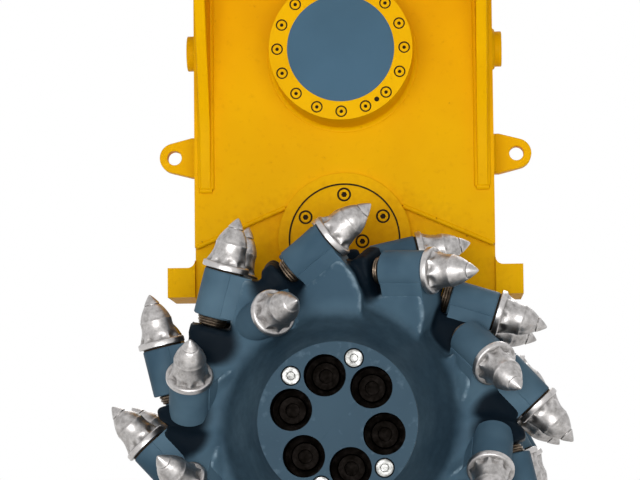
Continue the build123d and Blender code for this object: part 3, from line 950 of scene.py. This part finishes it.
piece_of("case_welds", mesh_of("case_welds", welds), "housing", "case_paint", case_enamel)

# %% [markdown]
# ## What stays as the CAD made it
# The shaft, hubs, motor and plugs have their right shapes already. They could be rebuilt too, but little
# of them shows, so they only take a finish.

# %% Finishes for CAD nodes
cad_finishes = {
    "cross_shaft": turned_steel, "drum_hub_front": drum_enamel, "drum_hub_rear": drum_enamel,
    "hydraulic_motor": black_oxide, "port_plugs": turned_steel,
}
for node, finish in cad_finishes.items():
    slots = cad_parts[node].data.materials
    slots.clear()
    slots.append(finish)
print("kept from the CAD:", *cad_finishes)

# %% [markdown]
# ## Floor
# A pale floor takes the object's soft shadow. For rays that see it directly, in a mirror or through glass,
# it glows a little, least near the object and more far off, so that it fades into the white surround.
# More lamp light would do the same but would bleach the paint.

# %% Pale floor
FLOOR_Z = -1.14
FLOOR_SPAN = 30.0
GLOW_NEAR, GLOW_FAR = 0.36, 0.68
GLOW_REACH = 3.2


def plainly_seen(tree):
    """1 for rays from the camera, in reflections and through glass, 0 for rays that only carry light."""
    rays = add_node(tree, "ShaderNodeLightPath").outputs
    seen = add_node(tree, "ShaderNodeMath", {"operation": "MAXIMUM"},
                    links={0: rays["Is Camera Ray"], 1: rays["Is Glossy Ray"]}).outputs[0]
    return add_node(tree, "ShaderNodeMath", {"operation": "MAXIMUM"},
                    links={0: seen, 1: rays["Is Transmission Ray"]}).outputs[0]


def floor_finish():
    """Matt pale floor, glowing by near x share + far x (1 - share), with share = 1 - distance / reach."""
    finish, tree, shader = new_finish("pale_floor", Base_Color=linear("#e9e9e7"), Roughness=0.8,
                                      Emission_Color=(1, 1, 1, 1))
    place = add_node(tree, "ShaderNodeTexCoord").outputs["Object"]
    place = add_node(tree, "ShaderNodeMapping", {"vector_type": "TEXTURE"},
                     {"Location": (0, 0, FLOOR_Z), "Scale": (GLOW_REACH,) * 3}, {"Vector": place})
    share = add_node(tree, "ShaderNodeTexGradient", {"gradient_type": "SPHERICAL"},
                     links={"Vector": place.outputs[0]})
    glow = add_node(tree, "ShaderNodeMapRange", values={"To Min": GLOW_FAR, "To Max": GLOW_NEAR},
                    links={"Value": share.outputs["Fac"]})
    glow = add_node(tree, "ShaderNodeMath", {"operation": "MULTIPLY"},
                    links={0: glow.outputs[0], 1: plainly_seen(tree)})
    tree.links.new(glow.outputs[0], shader.inputs["Emission Strength"])
    return finish


corners = FLOOR_SPAN * np.array([(-1, -1, 0), (1, -1, 0), (1, 1, 0), (-1, 1, 0)]) + (0, 0, FLOOR_Z)
floor_mesh = bpy.data.meshes.new("floor")
floor_mesh.from_pydata(corners, [], [(0, 1, 2, 3)])
floor_mesh.materials.append(floor_finish())
floor = add_object("floor", floor_mesh)

# %% [markdown]
# ## Light
# The surround is white where it is seen and grey where it only lights, so metal mirrors a white room while
# the paint keeps its colour. Two large lamps stand beside the camera, a low one stands in for light thrown
# up by the floor, and one behind parts the object from the surround.

# %% Surround and lamps
AMBIENT = 0.42
WHITE = (1, 1, 1, 1)
world = bpy.data.worlds.new("studio")
bpy.context.scene.world = world
world.use_nodes = True
tree = world.node_tree
tree.nodes.clear()
ambient = add_node(tree, "ShaderNodeBackground", values={"Color": WHITE, "Strength": AMBIENT})
surround = add_node(tree, "ShaderNodeBackground", values={"Color": WHITE, "Strength": 1.0})
mixed = add_node(tree, "ShaderNodeMixShader",
                 links={0: plainly_seen(tree), 1: ambient.outputs[0], 2: surround.outputs[0]})
add_node(tree, "ShaderNodeOutputWorld", links={"Surface": mixed.outputs[0]})
lamps = (
    ("key", (-0.7, -4.6, -0.7), (0, 0, -0.6), 1.4, 62),
    ("fill", (0.7, -4.6, -0.7), (0, 0, -0.6), 1.4, 48),
    ("bounce", (0.0, -1.7, -1.1), (0, -0.3, -0.4), 1.6, 13),
    ("back", (0.5, 3.0, 1.8), (0, 0, -0.5), 2.5, 60),
)
for name, place, aim, size, power in lamps:
    data = bpy.data.lights.new(name, "AREA")
    data.size = size
    data.energy = power
    lamp = add_object(name, data)
    lamp.location = place
    way = np.array(aim) - np.array(place)
    lamp.rotation_euler = (np.arctan2(np.hypot(way[0], way[1]), -way[2]), 0, np.arctan2(-way[0], way[1]))
print("lamps", sum(power for *_, power in lamps), "W in all")

# %% [markdown]
# ## Camera
# The camera stands about four and a half metres off, a little low and to the right, with a long lens, so
# that the case's upper part and the drum's lower part are cut by the picture's edges.

# %% Camera
camera_data = bpy.data.cameras.new("camera")
camera_data.lens = 155.6
camera_data.sensor_width = 36.0
camera = add_object("camera", camera_data)
camera.location = (0.1413, -4.435, -0.8659)
camera.rotation_euler = np.radians((95.047, 0.573, 2.42))
bpy.context.scene.camera = camera
bpy.context.scene.view_settings.view_transform = "Standard"
print("camera at", [round(side, 2) for side in camera.location])
